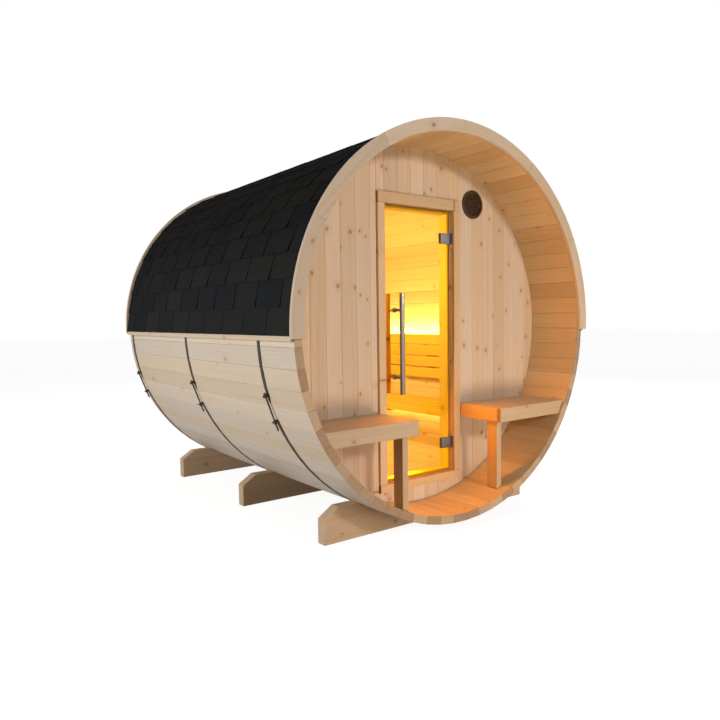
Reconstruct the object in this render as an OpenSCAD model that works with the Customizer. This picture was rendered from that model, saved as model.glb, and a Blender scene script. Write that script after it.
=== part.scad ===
// Barrel sauna: a coopered shell of staves held by steel bands on three cradles, with an open
// porch, a framed glass door, slatted benches inside and a shingled upper half.
// Millimetres, +Z up, the porch faces -Y. The origin is on the ground under the barrel's middle.

/* [Barrel] */
// Length of the staves
barrel_len = 2180; // [1900:10:2800]
// Distance from the barrel's axis to the outer flat of a stave
stave_r = 1025; // [960:5:1120]
// Thickness of a stave
stave_t = 42; // [30:1:50]
// Number of staves, in six groups of equal count
stave_n = 66; // [54:6:78]
// Turn of the whole ring of staves about the barrel's axis, in degrees
stave_turn = -1.5; // [-2.5:0.1:2.5]
// Open joint between neighbouring boards
joint_gap = 0.4; // [0.2:0.1:0.8]
// Clearance between a curved piece and what it seats on
seat_gap = 0.3; // [0.2:0.05:0.4]

/* [End walls] */
// Depth of the porch, from the ends of the staves to the front wall
porch_depth = 338; // [290:2:420]
// Set-back of the back wall from the ends of the staves
back_inset = 90; // [60:5:160]
// Thickness of the end walls
wall_t = 42; // [30:1:60]

/* [Door frame] */
// Outer width of the door frame
frame_w = 606; // [560:2:640]
// Wall left between the frame's upper corners and the staves
frame_over = 214; // [150:1:260]
// Wall left between the frame's lower corners and the staves
frame_under = 39; // [25:1:80]
// Width of a jamb's face
jamb_w = 47; // [40:1:60]
// Height of the head's face
head_h = 58; // [50:1:110]
// Height of the sill's face
sill_h = 42; // [36:1:90]
// How far the frame stands out from the front wall
frame_proud = 16; // [8:1:24]
// Depth of the frame from front to back
frame_depth = 110; // [95:1:130]
// Width of the beads that the glass closes against
stop_w = 18; // [16:1:24]

/* [Glass door] */
// Thickness of the glass
glass_t = 8; // [6:1:10]
// Set-back of the glass from the frame's front
glass_inset = 29; // [24:1:45]
// Gap round the glass and in front of the beads
glass_gap = 6; // [5:0.5:8]
// Gap between the glass and the hinge jamb
hinge_gap = 14; // [14:0.5:16]

// How far the handles and hinges lie above the middle of the glass
fittings_up = 5; // [0:0.5:12]

/* [Handles] */
// Length of a handle bar
handle_len = 551; // [400:1:700]
// Diameter of a handle bar
handle_d = 28; // [20:1:34]
// Distance of the bar's axis from the glass
handle_off = 58; // [45:1:70]
// Distance of the bar's axis from the free edge of the glass
handle_in = 83; // [45:1:100]
// Distance between the two posts of a handle
post_span = 368; // [250:1:380]
// Diameter of a post
post_d = 14; // [10:1:18]

/* [Hinges] */
// Width of a hinge plate on the glass
hinge_w = 68; // [50:1:80]
// Height of a hinge plate
hinge_h = 60; // [45:1:80]
// Thickness of a hinge plate
hinge_t = 8; // [7:0.5:9]
// Distance of a hinge's centre from the end of the glass
hinge_in = 159; // [90:1:200]
// Distance of the pin's axis from the edge of the glass
pin_out = 4; // [4:0.5:5]
// Diameter of the hinge pin
pin_d = 4; // [3:0.5:5]
// Thickness of the hinge bracket's plate and ears
bracket_t = 2.4; // [2:0.1:2.6]

/* [Vent] */
// Diameter of the vent's flange
vent_d = 165; // [120:1:190]
// Width of the flange round the vent's opening
vent_rim = 12; // [8:1:18]
// How far the flange stands out from the wall
vent_proud = 10; // [6:1:16]
// Distance of the vent's centre from the side of the door frame
vent_off = 119; // [100:1:160]
// Distance of the vent's centre from the wall's edge
vent_in = 154; // [120:1:170]
// Number of louvres
louvre_n = 8; // [5:1:10]
// Thickness of a louvre
louvre_t = 3; // [2:0.5:4]

/* [Cradles] */
// Length of a cradle across the barrel
cradle_len = 1468; // [1300:2:1700]
// Thickness of a cradle
cradle_t = 60; // [45:1:80]
// Height of a cradle's upright end
cradle_end_h = 127; // [90:1:140]
// Height of a cradle's flat top
cradle_h = 181; // [160:1:210]
// Length of the slope from the top to the upright end
cradle_slope = 85; // [50:1:110]
// Timber left under the barrel's lowest point
cradle_under = 35; // [25:1:60]
// First cradle, from the front ends of the staves
cradle_front_in = 230; // [150:5:400]
// Second cradle, from the front ends of the staves
cradle_middle_in = 1100; // [900:5:1300]
// Third cradle, from the rear ends of the staves
cradle_rear_in = 150; // [120:5:300]

/* [Bands] */
// Width of a band
band_w = 25; // [18:1:30]
// Thickness of a band
band_t = 2; // [1.5:0.5:3]
// Gap between a cradle and the band behind it
band_gap = 16; // [8:1:24]
// Upper end of a band below level, in degrees
band_end = 17.4; // [14:0.2:20]
// Opening between a band's two ends, in degrees
band_open = 7; // [6:0.2:9]
// Height of the lug at each end
lug_h = 26; // [24:1:34]
// Thickness of a lug
lug_t = 5; // [4:0.5:7]
// Diameter of the tension rod
rod_d = 8; // [6:1:10]
// Length of rod that stands past the lower lug
rod_over = 50; // [25:1:70]

/* [Roof] */
// Courses of shingles on each side
course_n = 13; // [10:1:16]
// Thickness of a shingle
shingle_t = 3.5; // [3:0.5:5]
// Lower edge of the shingles below the barrel's axis
eave_drop = 19; // [12:1:30]
// Thickness of the eave batten
batten_t = 12; // [10:1:18]
// Height of the eave batten
batten_h = 40; // [30:1:60]
// Top of the eave batten below the barrel's axis
batten_drop = 3; // [1:1:8]

/* [Fascias] */
// Thickness of a fascia
fascia_t = 20; // [14:1:28]
// How far a fascia stands out beyond the staves
fascia_over = 22; // [16:1:30]
// How far a fascia runs below level, in degrees
fascia_drop = 1.8; // [1:0.2:3]
// Boards in each fascia
fascia_n = 6; // [4:1:8]

/* [Porch benches] */
// Top of the porch seats below the barrel's axis, as a share of the inner radius
porch_seat_share = 0.466; // [0.41:0.002:0.53]
// Set-back of the seats from the ends of the staves
porch_seat_in = 15; // [5:1:40]
// Thickness of the seat boards
porch_seat_t = 24; // [18:1:32]
// Boards in a porch seat
porch_board_n = 3; // [2:1:4]
// Height of the apron
apron_h = 78; // [60:1:100]
// Thickness of the apron
apron_t = 22; // [16:1:28]
// Width of a leg
leg_w = 37; // [28:1:50]
// Depth of a leg
leg_d = 72; // [50:1:100]
// Set-back of a leg from the seat's inner end
leg_in = 28; // [24:1:60]
// Set-back of a leg from the seat's front
leg_back = 50; // [30:1:100]

/* [Inner benches] */
// Top of the inner seats below the barrel's axis, as a share of the inner radius
seat_share = 0.546; // [0.49:0.002:0.59]
// Front edge of a seat from the barrel's middle, as a share of the inner radius
aisle_share = 0.341; // [0.305:0.001:0.405]
// Thickness of the seat slats
seat_t = 28; // [20:1:36]
// Slats in a seat
seat_n = 5; // [4:1:6]
// Gap between the slats of a seat
seat_slot = 10; // [6:1:16]
// Width and height of a bearer under the seat slats
bearer_w = 45; // [30:1:60]
// Set-back of a bearer's end from the edge of the seat
bearer_in = 22; // [10:1:40]
// Top of the backrest below the barrel's axis
back_drop = 75; // [40:1:120]
// Height of a backrest slat
back_h = 71; // [50:1:80]
// Gap between the slats of a backrest
back_slot = 12; // [6:1:20]
// Slats in a backrest
back_n = 4; // [3:1:4]
// Thickness of a backrest slat
back_t = 22; // [16:1:28]
// Space behind the lowest backrest slat
back_stand = 55; // [40:1:80]
// Width of an upright behind the backrest
upright_w = 40; // [30:1:60]
// Width and height of a light strip
strip_w = 12; // [8:1:16]
// Space left at the ends of slats and strips
end_gap = 8; // [4:1:15]

/* [Hidden] */
// Facets of a small circle, and of a circle as wide as the barrel
$fn = 64;
barrel_fn = 360;

spruce = [0.83, 0.74, 0.61];
wall_spruce = [0.80, 0.68, 0.53];
frame_spruce = [0.78, 0.66, 0.50];
bench_spruce = [0.80, 0.64, 0.47];
black_felt = [0.13, 0.13, 0.14];
dark_steel = [0.16, 0.16, 0.17];
bright_steel = [0.62, 0.62, 0.63];
amber = [0.95, 0.66, 0.15, 0.55];
brown = [0.22, 0.17, 0.13];
glow = [1.0, 0.88, 0.55];

// Room for cuts that run right through
past = 10;

// Barrel: radii, the height of the axis and the planes of the walls along Y
stave_half = 180 / stave_n;
group_n = stave_n / 6;
corner_r = stave_r / cos(stave_half);
inner_r = stave_r - stave_t;
fit_r = inner_r - seat_gap;
wrap_r = corner_r + seat_gap;
axis_z = cradle_under + wrap_r;
front_y = -barrel_len / 2;
rear_y = barrel_len / 2;
wall_y = front_y + porch_depth;
wall_in_y = wall_y + wall_t;
back_y = rear_y - back_inset - wall_t;

// Half-width of a circle at a given height, or the other way round
function across(r, h) = sqrt(r * r - h * h);
// Point of the barrel's section at a radius and an angle above level
function polar(r, a) = [r * cos(a), r * sin(a)];

// Door frame and glass; heights are measured from the barrel's axis
frame_y = wall_y - frame_proud;
frame_back_y = frame_y + frame_depth;
frame_half = frame_w / 2;
frame_top = across(fit_r, frame_half) - frame_over;
frame_low = frame_under - across(fit_r, frame_half);
clear_half = frame_half - jamb_w;
clear_top = frame_top - head_h;
clear_low = frame_low + sill_h;
glass_y = frame_y + glass_inset;
glass_left = -clear_half + glass_gap;
glass_right = clear_half - hinge_gap;
glass_top = clear_top - glass_gap;
glass_low = clear_low + glass_gap;
stop_y = glass_y + glass_t + glass_gap;

// Handles and hinges
handle_x = glass_left + handle_in;
handle_z = (glass_top + glass_low) / 2 + fittings_up;
hinge_zs = [glass_top - hinge_in + fittings_up, glass_low + hinge_in + fittings_up];
pin_x = glass_right + pin_out;
pin_y = glass_y - seat_gap - hinge_t / 2;
knuckle_r = hinge_t / 2;
ear_gap = 1;

// Vent
vent_r = fit_r - vent_in;
vent_x = frame_half + vent_off;
vent_z = across(vent_r, vent_x);
vent_hole_r = vent_d / 2 - vent_rim;

// Cradles and the bands behind them
cradle_ys = [front_y + cradle_front_in, front_y + cradle_middle_in, rear_y - cradle_rear_in];
function band_y(i) = cradle_ys[i] + cradle_t + band_gap;
band_out_r = wrap_r + band_t;
lug_low_a = 180 + band_end + band_open;
lug_up_a = 180 + band_end;
rod_a = (lug_low_a + lug_up_a) / 2;
rod_at_lug_r = wrap_r + band_t + (lug_h - band_t) / 2;
rod_r = rod_at_lug_r * cos(band_open / 2);
rod_half = rod_at_lug_r * sin(band_open / 2);
rod_play = 1;
nut_r = rod_d * 0.95;
nut_h = rod_d * 0.8;
// A nut stays square to the rod while its lug leans by half the opening
nut_off = lug_t + nut_r * tan(band_open / 2) + seat_gap;

// Roof: the courses lie on the bands, and the lowest one flares out over the eave batten
roof_r = band_out_r + seat_gap;
batten_x = roof_r + batten_t;
course_turn = 90 / (course_n - 0.15);
function course_a(i) = 90 - (course_n - i) * course_turn;
// Corners of the underside, which goes round the bands in flats of half a course
under_r = roof_r / cos(course_turn / 4);
flare_from = polar(under_r, course_a(1));
flare_lean = (batten_x + seat_gap - flare_from.x) / (flare_from.y + batten_drop);
eave_x = batten_x + seat_gap + (eave_drop - batten_drop) * flare_lean;

// Porch benches
porch_x = frame_half;
porch_top_z = -porch_seat_share * fit_r;
porch_front_y = front_y + porch_seat_in;
porch_boards_y = porch_front_y + apron_t + joint_gap;
porch_board_w = (wall_y - porch_boards_y - porch_board_n * joint_gap) / porch_board_n;

// Inner benches
seat_top_z = -seat_share * fit_r;
seat_low_z = seat_top_z - seat_t;
seat_front = aisle_share * fit_r;
seat_back_x = across(fit_r, seat_low_z);
slat_w = (seat_back_x - seat_front - (seat_n - 1) * seat_slot) / seat_n;
cabin_len = back_y - wall_in_y;
back_pitch = back_h + back_slot;
back_low_z = -back_drop - back_n * back_pitch + back_slot;
slat_back_x = across(fit_r, back_low_z) - back_stand;
upright_ys = [
    wall_in_y + cabin_len / 6,
    wall_in_y + cabin_len / 2,
    back_y - cabin_len / 6
];

// A box from its lowest to its highest corner; heights are measured from the barrel's axis
module block(low, high) {
    translate([low.x, low.y, axis_z + low.z]) cube(high - low);
}

// An outline of the barrel's cross-section, carried along Y
module along(y, length) {
    translate([0, y + length, axis_z]) rotate([90, 0, 0]) linear_extrude(length) children();
}

// Part of a ring round the barrel's axis
module ring(r_in, r_out, from, turn, y, length) {
    translate([0, y + length, axis_z]) rotate([90, 0, 0]) rotate([0, 0, from])
        rotate_extrude(angle = turn, $fn = barrel_fn)
            translate([r_in, 0]) square([r_out - r_in, length]);
}

// A round bar along Y through the barrel's cross-section
module bar_y(r, y, length) {
    translate([0, y + length, axis_z]) rotate([90, 0, 0]) cylinder(h = length, r = r);
}

// Keeps what lies inside the staves
module inside_staves() {
    intersection() {
        children();
        bar_y(fit_r, front_y, barrel_len, $fn = barrel_fn);
    }
}

module both_sides() {
    children();
    mirror([1, 0, 0]) children();
}

// One group of staves: flat planks with bevelled edges, side by side round the axis
module staves(group) {
    bevel_gap = joint_gap / 2 / cos(stave_half);
    out_half = stave_r * tan(stave_half) - bevel_gap;
    in_half = inner_r * tan(stave_half) - bevel_gap;
    color(spruce)
        for (i = [0 : group_n - 1])
            along(front_y, barrel_len)
                rotate(group * 60 + (i - (group_n - 1) / 2) * 2 * stave_half + stave_turn)
                    polygon([
                        [-in_half, -inner_r], [-out_half, -stave_r],
                        [out_half, -stave_r], [in_half, -inner_r]
                    ]);
}

// The front wall between two upright lines and two levels, within the staves
module front_wall(x_from, x_to, z_from, z_to) {
    color(wall_spruce) inside_staves()
        block([x_from, wall_y, z_from], [x_to, wall_in_y, z_to]);
}

module front_wall_left() {
    front_wall(-stave_r, -frame_half - seat_gap, -stave_r, stave_r);
}

module front_wall_right() {
    color(wall_spruce) difference() {
        front_wall(frame_half + seat_gap, stave_r, -stave_r, stave_r);
        translate([vent_x, 0, vent_z])
            bar_y(vent_hole_r, wall_y - past, wall_t + 2 * past);
    }
}

module front_wall_over_door() {
    front_wall(-frame_half, frame_half, frame_top + seat_gap, stave_r);
}

module front_wall_under_door() {
    front_wall(-frame_half, frame_half, -stave_r, frame_low - seat_gap);
}

module back_wall() {
    color(wall_spruce) bar_y(fit_r, back_y, wall_t, $fn = barrel_fn);
}

// Arch of curved boards that covers the upper ends of the staves
module fascia(y) {
    turn = (180 + 2 * fascia_drop) / fascia_n;
    open = joint_gap / stave_r * 180 / PI;
    color(spruce)
        for (i = [0 : fascia_n - 1])
            ring(inner_r, stave_r + fascia_over, -fascia_drop + i * turn + open / 2, turn - open,
                y, fascia_t);
}

module front_fascia() {
    fascia(front_y - fascia_t);
}

module rear_fascia() {
    fascia(rear_y);
}

// One side of the roof: each course laps over the one below it
module roof_side() {
    eave = [
        [eave_x, -eave_drop],
        [eave_x + shingle_t, -eave_drop],
        polar(roof_r + shingle_t, course_a(1))
    ];
    courses = [
        for (i = [1 : course_n - 1])
            each [polar(roof_r + 2 * shingle_t, course_a(i)), polar(roof_r + shingle_t, course_a(i + 1))]
    ];
    underside = [for (i = [course_n : -0.5 : 1]) polar(under_r, course_a(i))];
    color(black_felt) along(front_y, barrel_len) polygon(concat(eave, courses, underside));
}

module roof_shingles_right() {
    roof_side();
}

module roof_shingles_left() {
    mirror([1, 0, 0]) roof_side();
}

module eave_battens() {
    color(spruce) both_sides()
        block([roof_r, front_y, -batten_drop - batten_h], [batten_x, rear_y, -batten_drop]);
}

// The line of a tension rod, from past the upper lug to past the lower one
module rod_line(d, i) {
    translate([0, band_y(i) + band_w / 2, axis_z]) rotate([0, -rod_a, 0])
        translate([rod_r, 0, -rod_half - nut_off - 2 * nut_h])
            cylinder(h = 2 * rod_half + nut_off + 2 * nut_h + rod_over, d = d);
}

// An upright lug on a band, on one side of a line through the barrel's axis
module lug(i, a, side) {
    translate([0, band_y(i), axis_z]) rotate([0, -a, 0])
        translate([band_out_r + seat_gap, 0, side])
            cube([lug_h - band_t - seat_gap, band_w, lug_t]);
}

// A steel band with a lug at each end
module band(i) {
    color(dark_steel) {
        ring(wrap_r, band_out_r, lug_low_a, 360 - band_open, band_y(i), band_w);
        difference() {
            union() {
                lug(i, lug_low_a, 0);
                lug(i, lug_up_a, -lug_t);
            }
            rod_line(rod_d + rod_play, i);
        }
    }
}

module band_front() {
    band(0);
}

module band_middle() {
    band(1);
}

module band_rear() {
    band(2);
}

// A nut at one end of a tension rod, at a distance along it from its middle
module nut(i, z) {
    translate([0, band_y(i) + band_w / 2, axis_z]) rotate([0, -rod_a, 0])
        translate([rod_r, 0, z]) cylinder(h = nut_h, r = nut_r, $fn = 6);
}

module tension_rods() {
    color(bright_steel)
        for (i = [0 : 2])
            union() {
                rod_line(rod_d, i);
                nut(i, -rod_half - nut_off - nut_h);
                nut(i, rod_half + nut_off);
            }
}

// A plank with sloped shoulders, hollowed to the barrel
module cradle(i) {
    half = cradle_len / 2;
    color(spruce) along(cradle_ys[i], cradle_t) difference() {
        translate([0, -axis_z]) polygon([
            [-half, 0], [-half, cradle_end_h], [-half + cradle_slope, cradle_h],
            [half - cradle_slope, cradle_h], [half, cradle_end_h], [half, 0]
        ]);
        circle(wrap_r, $fn = barrel_fn);
    }
}

module cradle_front() {
    cradle(0);
}

module cradle_middle() {
    cradle(1);
}

module cradle_rear() {
    cradle(2);
}

module door_jamb_right() {
    color(frame_spruce)
        block([clear_half, frame_y, clear_low + joint_gap], [frame_half, frame_back_y, clear_top - joint_gap]);
}

module door_jamb_left() {
    mirror([1, 0, 0]) door_jamb_right();
}

module door_head() {
    color(frame_spruce)
        block([-frame_half, frame_y, clear_top], [frame_half, frame_back_y, frame_top]);
}

module door_sill() {
    color(frame_spruce)
        block([-frame_half, frame_y, frame_low], [frame_half, frame_back_y, clear_low]);
}

// Beads round the inside of the frame, behind the glass
module door_stops() {
    outer = clear_half - joint_gap;
    inner = clear_half - stop_w - joint_gap;
    low = clear_low + joint_gap;
    top = clear_top - joint_gap;
    color(frame_spruce) {
        both_sides()
            block([clear_half - stop_w, stop_y, low], [outer, frame_back_y, top]);
        block([-inner, stop_y, clear_top - stop_w], [inner, frame_back_y, top]);
        block([-inner, stop_y, low], [inner, frame_back_y, clear_low + stop_w]);
    }
}

module door_glass() {
    color(amber)
        block([glass_left, glass_y, glass_low], [glass_right, glass_y + glass_t, glass_top]);
}

// A bar on two posts; reach is the distance to the glass along Y, with its sign
module handle(face_y, reach) {
    bar_at = face_y + reach;
    post_from = min(face_y + sign(reach) * seat_gap, bar_at);
    translate([handle_x, 0, axis_z + handle_z]) {
        translate([0, bar_at, -handle_len / 2]) cylinder(h = handle_len, d = handle_d);
        for (side = [-1, 1])
            translate([0, post_from, side * post_span / 2]) rotate([-90, 0, 0])
                cylinder(h = abs(reach) - seat_gap, d = post_d);
    }
}

module handle_outside() {
    color(bright_steel) handle(glass_y, -handle_off);
}

module handle_inside() {
    color(bench_spruce) handle(glass_y + glass_t, handle_off);
}

// A pair of plates that clamp the glass, the front one with the hinge's knuckle
module hinge_clamp(z) {
    plate_left = glass_right - hinge_w;
    plate_y = glass_y - seat_gap - hinge_t;
    back_plate_y = glass_y + glass_t + seat_gap;
    back_right = clear_half - stop_w - glass_gap;
    difference() {
        union() {
            block([plate_left, plate_y, z - hinge_h / 2], [pin_x, plate_y + hinge_t, z + hinge_h / 2]);
            translate([pin_x, pin_y, axis_z + z - hinge_h / 2]) cylinder(h = hinge_h, r = knuckle_r);
        }
        translate([pin_x, pin_y, axis_z + z - hinge_h / 2 - past])
            cylinder(h = hinge_h + 2 * past, d = pin_d + 2 * seat_gap);
    }
    block([plate_left, back_plate_y, z - hinge_h / 2],
        [back_right, back_plate_y + hinge_t, z + hinge_h / 2]);
}

module hinge_clamps() {
    color(bright_steel)
        for (z = hinge_zs)
            hinge_clamp(z);
}

// A plate on the jamb with an ear above and below the knuckle and the pin between them
module hinge_bracket(z) {
    plate_x = clear_half - bracket_t;
    ear_z = hinge_h / 2 + ear_gap;
    plate_half = ear_z + bracket_t;
    block([plate_x, pin_y - 3 * knuckle_r, z - plate_half],
        [clear_half, pin_y + 3 * knuckle_r, z + plate_half]);
    for (low = [z - plate_half, z + ear_z]) {
        block([pin_x, pin_y - knuckle_r, low], [clear_half, pin_y + knuckle_r, low + bracket_t]);
        translate([pin_x, pin_y, axis_z + low]) cylinder(h = bracket_t, r = knuckle_r);
    }
    translate([pin_x, pin_y, axis_z + z - plate_half]) cylinder(h = 2 * plate_half, d = pin_d);
}

module hinge_brackets() {
    color(bright_steel)
        for (z = hinge_zs)
            hinge_bracket(z);
}

// Round flange with sloping louvres across its opening
module vent_grille() {
    pitch = 2 * vent_hole_r / (louvre_n + 1);
    louvre_w = vent_proud * 0.7;
    color(brown) translate([vent_x, 0, vent_z]) {
        difference() {
            bar_y(vent_d / 2, wall_y - vent_proud, vent_proud);
            bar_y(vent_hole_r, wall_y - vent_proud - past, vent_proud + 2 * past);
        }
        intersection() {
            bar_y(vent_hole_r + 1, wall_y - vent_proud, vent_proud);
            for (i = [1 : louvre_n])
                translate([0, wall_y - vent_proud / 2, axis_z - vent_hole_r + i * pitch])
                    rotate([35, 0, 0]) cube([vent_d, louvre_w, louvre_t], center = true);
        }
    }
}

// Boards of a porch seat, cut to the staves at their outer ends
module porch_boards() {
    color(bench_spruce)
        for (i = [0 : porch_board_n - 1])
            let (y = porch_boards_y + i * (porch_board_w + joint_gap))
                inside_staves()
                    block([porch_x + apron_t + joint_gap, y, porch_top_z - porch_seat_t],
                        [stave_r, y + porch_board_w, porch_top_z]);
}

module porch_seat_right() {
    porch_boards();
}

module porch_seat_left() {
    mirror([1, 0, 0]) porch_boards();
}

// Apron across the front and the inner end of a porch seat
module porch_apron() {
    color(bench_spruce) inside_staves() union() {
        block([porch_x, porch_front_y, porch_top_z - apron_h],
            [stave_r, porch_front_y + apron_t, porch_top_z]);
        block([porch_x, porch_front_y, porch_top_z - apron_h],
            [porch_x + apron_t, wall_y - joint_gap, porch_top_z]);
    }
}

module porch_apron_right() {
    porch_apron();
}

module porch_apron_left() {
    mirror([1, 0, 0]) porch_apron();
}

module porch_legs() {
    x = porch_x + leg_in;
    y = porch_front_y + leg_back;
    color(bench_spruce) both_sides() inside_staves()
        block([x, y, -stave_r], [x + leg_w, y + leg_d, porch_top_z - porch_seat_t - seat_gap]);
}

// Slats of an inner seat, from wall to wall
module seat_slats() {
    color(bench_spruce)
        for (i = [0 : seat_n - 1])
            let (x = seat_front + i * (slat_w + seat_slot))
                block([x, wall_in_y, seat_low_z], [x + slat_w, back_y, seat_top_z]);
}

module bench_seat_right() {
    seat_slats();
}

module bench_seat_left() {
    mirror([1, 0, 0]) seat_slats();
}

// Bearers on the two end walls and one under the middle of each seat
module bench_bearers() {
    ys = [wall_in_y, wall_in_y + (cabin_len - bearer_w) / 2, back_y - bearer_w];
    color(bench_spruce) both_sides()
        for (y = ys)
            block([seat_front + bearer_in, y, seat_low_z - bearer_w],
                [across(fit_r, seat_low_z - bearer_w) - 2 * strip_w, y + bearer_w, seat_low_z]);
}

module backrest() {
    color(bench_spruce)
        for (i = [0 : back_n - 1])
            let (z = -back_drop - i * back_pitch)
                block([slat_back_x - back_t, wall_in_y + end_gap, z - back_h],
                    [slat_back_x, back_y - end_gap, z]);
}

module backrest_right() {
    backrest();
}

module backrest_left() {
    mirror([1, 0, 0]) backrest();
}

// Uprights behind the backrests, shaped to the staves; a light strip lies on top of them
module backrest_uprights() {
    color(bench_spruce) both_sides()
        for (y = upright_ys)
            inside_staves()
                block([slat_back_x, y - upright_w / 2, back_low_z],
                    [stave_r, y + upright_w / 2, -back_drop - 2 * strip_w]);
}

// Light strips behind the top of each backrest and under the back of each seat
module light_strips() {
    y_from = wall_in_y + end_gap;
    y_to = back_y - end_gap;
    back_z = -back_drop - 2 * strip_w;
    under_x = across(fit_r, seat_low_z - strip_w) - strip_w;
    color(glow) both_sides() {
        block([slat_back_x, y_from, back_z], [slat_back_x + strip_w, y_to, back_z + strip_w]);
        block([under_x, y_from, seat_low_z - strip_w], [under_x + strip_w, y_to, seat_low_z]);
    }
}

staves(0);  // staves_bottom
staves(1);  // staves_lower_right
staves(2);  // staves_upper_right
staves(3);  // staves_top
staves(4);  // staves_upper_left
staves(5);  // staves_lower_left
front_wall_left();
front_wall_right();
front_wall_over_door();
front_wall_under_door();
back_wall();
front_fascia();
rear_fascia();
roof_shingles_left();
roof_shingles_right();
eave_battens();
band_front();
band_middle();
band_rear();
tension_rods();
cradle_front();
cradle_middle();
cradle_rear();
door_jamb_left();
door_jamb_right();
door_head();
door_sill();
door_stops();
door_glass();
handle_outside();
handle_inside();
hinge_clamps();
hinge_brackets();
vent_grille();
porch_seat_left();
porch_seat_right();
porch_apron_left();
porch_apron_right();
porch_legs();
bench_seat_left();
bench_seat_right();
bench_bearers();
backrest_left();
backrest_right();
backrest_uprights();
light_strips();
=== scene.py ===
import math
import random

import bpy
import numpy as np
from bpy.props import FloatProperty, FloatVectorProperty, IntProperty, PointerProperty
from mathutils import Matrix, Vector


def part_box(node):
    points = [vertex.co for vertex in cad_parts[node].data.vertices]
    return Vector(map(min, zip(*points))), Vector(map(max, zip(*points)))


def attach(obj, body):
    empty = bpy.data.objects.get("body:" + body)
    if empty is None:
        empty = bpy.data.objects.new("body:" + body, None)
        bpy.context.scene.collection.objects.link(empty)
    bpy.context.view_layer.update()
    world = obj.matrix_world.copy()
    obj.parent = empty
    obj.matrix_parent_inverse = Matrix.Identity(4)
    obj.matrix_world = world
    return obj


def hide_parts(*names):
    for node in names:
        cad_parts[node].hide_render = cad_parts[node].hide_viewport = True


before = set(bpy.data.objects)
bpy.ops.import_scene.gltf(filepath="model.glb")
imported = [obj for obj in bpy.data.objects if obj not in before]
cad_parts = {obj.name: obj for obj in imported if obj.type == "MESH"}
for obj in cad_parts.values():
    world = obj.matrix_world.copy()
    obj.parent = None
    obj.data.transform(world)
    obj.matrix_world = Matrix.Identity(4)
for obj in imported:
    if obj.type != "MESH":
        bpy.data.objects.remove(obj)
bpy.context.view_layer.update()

bl_info = {
    "name": "Barrel Sauna",
    "version": (1, 0, 0),
    "blender": (4, 5, 0),
    "location": "View3D > Sidebar > Sauna",
    "description": "Dresses the packed frame of a barrel sauna in timber, felt, steel and glass",
    "category": "Object",
}

# The barrel as packed: the height of its axis, the walls' radius and the ends of the staves
WALL_LOW, WALL_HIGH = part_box("back_wall")
AXIS_Z = (WALL_LOW.z + WALL_HIGH.z) / 2
WALL_R = (WALL_HIGH.z - WALL_LOW.z) / 2
FRONT_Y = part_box("staves_top")[0].y
REAR_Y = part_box("staves_top")[1].y
BARREL_LEN = REAR_Y - FRONT_Y
STAVE_GROUPS = ("bottom", "lower_right", "upper_right", "top", "upper_left", "lower_left")
X, Y, Z = range(3)

# How far the edges of the timber are rounded
STAVE_EDGE, FASCIA_EDGE, BATTEN_EDGE = 0.0018, 0.0008, 0.002
TRIM_EDGE, POST_EDGE, SLAT_EDGE = 0.0022, 0.0025, 0.003
# Points closer than this count as one
WELD = 0.00001
# A face is a board's end if this much of its normal runs along the board
END_FACE = 0.3
# Distance from one turn of a rod's thread to the next
THREAD_PITCH = 0.00125
# Wall boards: the largest angle between two cuts of a curved end, and the least width
RIM_STEP, NARROWEST_BOARD = math.radians(1.6), 0.006
# Width of the vent's flange
VENT_RIM = 0.012
# Shingles: the share of a course that the eave cuts off, and how far a course runs under the
# next one, as an angle
EAVE_SHARE, LAP = 0.15, 0.004
# How far the tabs stay inside the staves' ends, and the least width of a tab
END_GAP, NARROWEST_TAB = 0.0005, 0.012
# Door: the length of a handle's collars, and a hinge screw's head with its socket
COLLAR = 0.006
HEAD_R, HEAD_HIGH, HEAD_RIM, SOCKET_DEEP = 0.0058, 0.0016, 0.0026, 0.0014


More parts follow.
